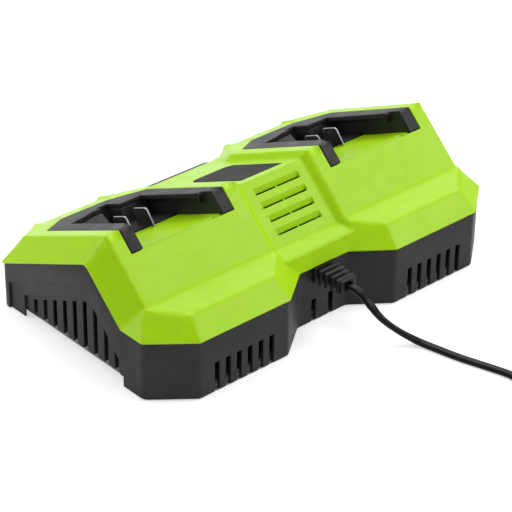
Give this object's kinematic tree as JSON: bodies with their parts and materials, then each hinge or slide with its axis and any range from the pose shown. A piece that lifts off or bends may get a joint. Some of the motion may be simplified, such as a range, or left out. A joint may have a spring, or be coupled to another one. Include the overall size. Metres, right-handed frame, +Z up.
{
  "type": "battery charger",
  "caption": "Twin-bay battery charger with a ridged green shell, slatted dark housing, slide-in rail frames and a coiled mains lead.",
  "frame": {"origin": "middle of the case's footprint, on the surface it stands on", "axes": "+X along the long side of the case, +Y to the rear, where the mains lead leaves, +Z up"},
  "size_m": [0.28, 0.3486, 0.087],
  "materials": {
    "shell_green": "satin moulded polycarbonate with fine spark texture",
    "housing_dark": "fine-grained moulded nylon",
    "insert_dark": "glass-filled nylon, slightly satin on edges",
    "terminal_black": "matt glass-filled nylon",
    "contact_metal": "nickel-plated copper blade with wipe marks",
    "clear_window": "smoked clear light pipe",
    "plate_black": "blank foil plate, satin",
    "rubber": "moulded rubber",
    "screw_steel": "zinc plated",
    "board_green": "solder-masked fibreglass",
    "led_white": "milky lens",
    "ferrite": "ground ferrite",
    "tape_yellow": "polyester winding tape",
    "can_blue": "sleeved aluminium can",
    "aluminium": "extruded, plain",
    "epoxy_black": "moulded epoxy",
    "copper_wire": "enamelled copper winding",
    "fuse_glass": "clear tube with metal caps",
    "lead_black": "flat PVC mains lead",
    "wire_red": "PVC insulated lead",
    "wire_brown": "PVC insulated lead",
    "plug_black": "moulded PVC",
    "pin_brass": "nickel-plated brass"
  },
  "bodies": {
    "case": {"upper_shell": "shell_green", "lower_housing": "housing_dark", "rail_frame_left": "insert_dark", "rail_frame_right": "insert_dark", "terminal_block_left": "terminal_black", "terminal_block_right": "terminal_black", "block_screws": "screw_steel", "contact_blades_left": "contact_metal", "contact_blades_right": "contact_metal", "light_pipes_left": "clear_window", "light_pipes_right": "clear_window", "name_plate": "plate_black", "rubber_feet": "rubber", "case_screws": "screw_steel", "main_board": "board_green", "board_screws": "screw_steel", "light_boards": "board_green", "indicator_leds": "led_white", "transformer_core": "ferrite", "transformer_winding": "tape_yellow", "bulk_capacitor": "can_blue", "output_capacitors": "can_blue", "heat_sinks": "aluminium", "power_transistors": "epoxy_black", "line_choke": "copper_wire", "suppression_capacitor": "tape_yellow", "glass_fuse": "fuse_glass", "mains_leads": "wire_brown", "output_leads_left": "wire_red", "output_leads_right": "wire_red", "fan_frame": "epoxy_black", "fan_screws": "screw_steel", "strain_relief": "rubber", "cord_run": "lead_black", "cord_coil": "lead_black", "cord_tail": "lead_black", "cord_tie": "rubber", "plug_body": "plug_black", "plug_pins": "pin_brass"},
    "fan": {"fan_rotor": "epoxy_black"}
  },
  "joints": [
    {"name": "fan_spin", "type": "hinge", "parent": "case", "child": "fan", "pos_m": [0, 0.02898, 0.06162], "axis": [0, 0.682, 0.7314], "continuous": true}
  ]
}
